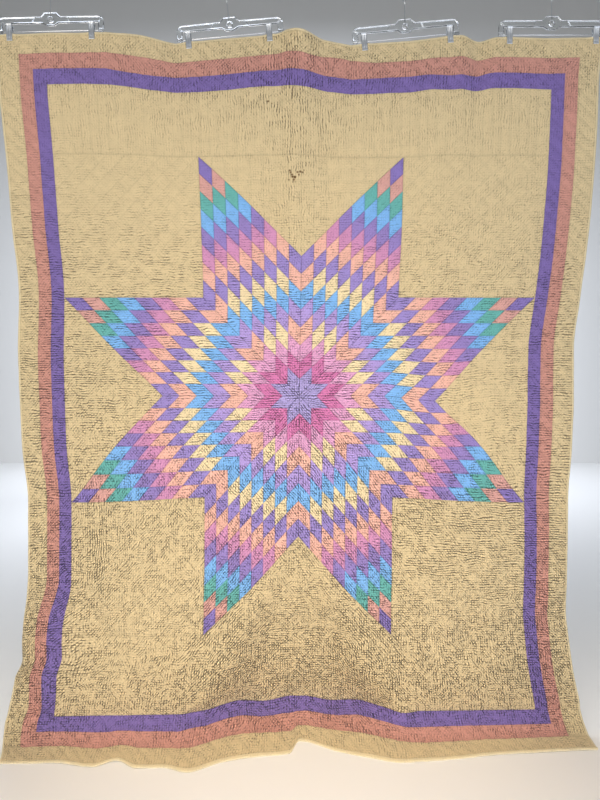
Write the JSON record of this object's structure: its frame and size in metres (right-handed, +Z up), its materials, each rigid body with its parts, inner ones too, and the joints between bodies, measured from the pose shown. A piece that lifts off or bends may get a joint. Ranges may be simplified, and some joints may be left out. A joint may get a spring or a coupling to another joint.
{
  "type": "star quilt and clip hangers",
  "caption": "Pieced eight-pointed star quilt with striped borders, hung by its top edge from clip hangers, its hem resting on the floor.",
  "frame": {"origin": "middle of the pole line that the four hooks hang on, at the crown of the hooks", "axes": "+X to the viewer's right along the top edge, +Y away from the viewer through the cloth, +Z up"},
  "size_m": [1.8847, 0.302, 2.3291],
  "materials": {
    "star_cottons": "plain-weave cottons in many colours, matt, quilted",
    "tan_cotton": "plain-weave tan cotton, matt, quilted, finely crinkled from washing",
    "salmon_cotton": "plain-weave salmon cotton, matt",
    "purple_cotton": "plain-weave purple cotton, matt",
    "cream_binding": "folded cream cotton binding, matt",
    "clear_plastic": "clear moulded styrene, glossy",
    "steel_wire": "bright plated steel wire and rod",
    "zinc_clips": "pressed steel, zinc plated, ribbed"
  },
  "bodies": {
    "root": {"binding_bottom": "cream_binding", "binding_left": "cream_binding", "binding_right": "cream_binding", "binding_top": "cream_binding", "corner_square_bottom_left": "tan_cotton", "corner_square_bottom_right": "tan_cotton", "corner_square_top_left": "tan_cotton", "corner_square_top_right": "tan_cotton", "end_panel_bottom": "tan_cotton", "end_panel_top": "tan_cotton", "hanger_a_body": "clear_plastic", "hanger_a_clip_left": "zinc_clips", "hanger_a_clip_right": "zinc_clips", "hanger_a_hook": "steel_wire", "hanger_a_rod": "steel_wire", "hanger_b_body": "clear_plastic", "hanger_b_clip_left": "zinc_clips", "hanger_b_clip_right": "zinc_clips", "hanger_b_hook": "steel_wire", "hanger_b_rod": "steel_wire", "hanger_c_body": "clear_plastic", "hanger_c_clip_left": "zinc_clips", "hanger_c_clip_right": "zinc_clips", "hanger_c_hook": "steel_wire", "hanger_c_rod": "steel_wire", "hanger_d_body": "clear_plastic", "hanger_d_clip_left": "zinc_clips", "hanger_d_clip_right": "zinc_clips", "hanger_d_hook": "steel_wire", "hanger_d_rod": "steel_wire", "outer_strip_bottom": "tan_cotton", "outer_strip_left": "tan_cotton", "outer_strip_right": "tan_cotton", "outer_strip_top": "tan_cotton", "purple_strip_bottom": "purple_cotton", "purple_strip_left": "purple_cotton", "purple_strip_right": "purple_cotton", "purple_strip_top": "purple_cotton", "salmon_strip_bottom": "salmon_cotton", "salmon_strip_left": "salmon_cotton", "salmon_strip_right": "salmon_cotton", "salmon_strip_top": "salmon_cotton", "side_triangle_bottom": "tan_cotton", "side_triangle_left": "tan_cotton", "side_triangle_right": "tan_cotton", "side_triangle_top": "tan_cotton", "star_point_1": "star_cottons", "star_point_2": "star_cottons", "star_point_3": "star_cottons", "star_point_4": "star_cottons", "star_point_5": "star_cottons", "star_point_6": "star_cottons", "star_point_7": "star_cottons", "star_point_8": "star_cottons"}
  },
  "joints": []
}
